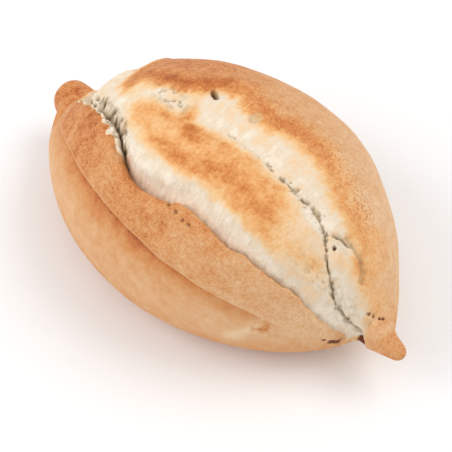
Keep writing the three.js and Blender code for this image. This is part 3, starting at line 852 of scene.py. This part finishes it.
def bread_material():
    s = Shader("crust_and_crumb")
    where = s.add("ShaderNodeTexCoord").outputs["Object"]
    lay = s.attribute("lay", "Vector")
    bake, warm, crumbly = (s.attribute(name) for name in ("bake", "warm", "crumbly"))
    freckles, dark, scorch = (s.attribute(name) for name in ("freckles", "dark", "scorch"))

    # Mottling of the crust, at about 4, 1 and 0.4 mm.
    wide = s.noise(where, 260.0, 3.0, 0.55)
    mottle = s.noise(where, 900.0, 3.0, 0.6)
    grain = s.noise(where, 2400.0, 2.0, 0.6)
    skin = s.spread(s.attribute("smooth"), 0.0, 1.0, 1.0, 0.35)
    spots = s.math("MULTIPLY", s.math("SUBTRACT", mottle, 0.5), 0.70)
    spots = s.math("MULTIPLY_ADD", s.math("SUBTRACT", grain, 0.5), 0.85, spots)
    uneven = s.math("MULTIPLY_ADD", s.math("SUBTRACT", wide, 0.5), 0.45, bake)
    uneven = s.math("MULTIPLY_ADD", spots, skin, uneven)
    crust = s.colours(uneven, CRUST_COLOURS)

    # Fibres of the crumb, drawn out across the slash.
    fibres = s.noise(s.scaled(lay, (1.0, 0.3, 0.0)), 1.0, 3.0, 0.6, 0.6)
    blush = s.math("MULTIPLY", s.math("SUBTRACT", mottle, 0.42), s.spread(bake, 0.03, 0.3, 0.10, 0.5))
    toasted = s.math("ADD", bake, blush)
    toasted = s.math("MULTIPLY_ADD", s.math("SUBTRACT", fibres, 0.5), 0.20, toasted)
    toasted = s.math("MULTIPLY_ADD", s.math("SUBTRACT", wide, 0.5), 0.34, toasted)
    toasted = s.math("MULTIPLY_ADD", s.math("SUBTRACT", grain, 0.5), 0.18, toasted)
    crumb = s.colours(toasted, CRUMB_COLOURS)
    grey = s.spread(fibres, 0.50, 0.70, 0.0, 0.26)
    greyness = s.math("MULTIPLY", grey, s.spread(bake, 0.05, 0.3, 1.0, 0.0))
    crumb = s.blend(greyness, crumb, srgb(*GREY_CRUMB_COLOUR))

    colour = s.blend(warm, crust, crumb)
    # Freckles along the rim of the back crust.
    dots = s.spread(s.noise(where, 1300.0, 1.0, 0.5), 0.54, 0.64)
    freckled = s.math("MULTIPLY", s.math("MULTIPLY", dots, freckles), 0.6)
    colour = s.blend(freckled, colour, srgb(*FRECKLE_COLOUR))
    # Painted shade in the openings, the crack under the ear and along the ear's foot.
    colour = s.blend(dark, colour, srgb(*OPENING_SHADE_COLOUR))
    # Scorched marks, and painted shade in the holes, in the same dark brown.
    colour = s.blend(scorch, colour, srgb(*SCORCH_AND_HOLE_SHADE_COLOUR))

    # Fine bump, half a millimetre deep: pores in the crust, fibres in the crumb.
    crust_height = s.math("ADD", s.math("MULTIPLY", mottle, 0.6), s.math("MULTIPLY", grain, 0.4))
    crumb_height = s.math("ADD", s.math("MULTIPLY", fibres, 0.9), s.math("MULTIPLY", grain, 0.5))
    height = s.add("ShaderNodeMix", data_type="FLOAT")
    for socket, value in zip((height.inputs[0], height.inputs[2], height.inputs[3]),
                             (crumbly, crust_height, crumb_height)):
        s.put(socket, value)
    bumped = s.add("ShaderNodeBump", {"Strength": 0.5, "Distance": 0.0005, "Height": height.outputs[0]})

    shader = s.add("ShaderNodeBsdfPrincipled", {
        "Base Color": colour,
        "Roughness": s.spread(crumbly, 0.0, 1.0, 0.62, 0.86),
        "Normal": bumped.outputs["Normal"],
        "Subsurface Weight": 0.18,
        "Subsurface Radius": (1.0, 0.75, 0.5),
        "Subsurface Scale": 0.0016,
        "Specular IOR Level": 0.32,
    })
    out = s.add("ShaderNodeOutputMaterial")
    s.tree.links.new(shader.outputs[0], out.inputs["Surface"])
    return s.material


def floor_material():
    s = Shader("pale_floor")
    shader = s.add("ShaderNodeBsdfPrincipled", {"Base Color": FLOOR_COLOUR, "Roughness": 0.9})
    out = s.add("ShaderNodeOutputMaterial")
    s.tree.links.new(shader.outputs[0], out.inputs["Surface"])
    return s.material


# ---- Scene ----
def add_object(name, data):
    made = bpy.data.objects.new(name, data)
    bpy.context.scene.collection.objects.link(made)
    return made


def add_roll():
    mesh, shift = roll_mesh()
    mesh.materials.append(bread_material())
    roll = add_object("crusty_roll", mesh)
    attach(roll, "root")
    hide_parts(NODE)
    return shift


def add_floor():
    mesh = bpy.data.meshes.new("floor")
    corners = [(x * FLOOR_REACH, y * FLOOR_REACH, 0) for x, y in ((-1, -1), (1, -1), (1, 1), (-1, 1))]
    mesh.from_pydata(corners, [], [(0, 1, 2, 3)])
    mesh.materials.append(floor_material())
    add_object("floor", mesh)


def add_area_light(name, place, size, power):
    data = bpy.data.lights.new(name, "AREA")
    data.shape = "DISK"
    data.size = size
    data.energy = power
    light = add_object(name, data)
    light.location = place
    light.rotation_euler = (Vector(LIT_POINT) - Vector(place)).to_track_quat("-Z", "Y").to_euler()


def add_lights():
    world = bpy.data.worlds.new("soft_room")
    world.use_nodes = True
    background = world.node_tree.nodes["Background"]
    background.inputs["Color"].default_value = (1.0, 1.0, 1.0, 1.0)
    background.inputs["Strength"].default_value = ROOM_LIGHT
    bpy.context.scene.world = world
    add_area_light("key_light", **KEY_LIGHT)
    add_area_light("fill_light", **FILL_LIGHT)


def add_camera(shift):
    data = bpy.data.cameras.new("camera")
    data.lens = LENS
    data.clip_start = 0.01
    camera = add_object("camera", data)
    level = math.cos(VIEW_ELEVATION)
    back = Vector((math.sin(VIEW_AZIMUTH) * level, -math.cos(VIEW_AZIMUTH) * level, math.sin(VIEW_ELEVATION)))
    aim = Vector([(a + s) * MM for a, s in zip(VIEW_AIM, shift)])
    camera.location = aim + back * VIEW_DISTANCE * MM
    camera.rotation_euler = back.to_track_quat("Z", "Y").to_euler()
    bpy.context.scene.camera = camera


bpy.context.scene.view_settings.view_transform = "Standard"
roll_shift = add_roll()
add_floor()
add_lights()
add_camera(roll_shift)
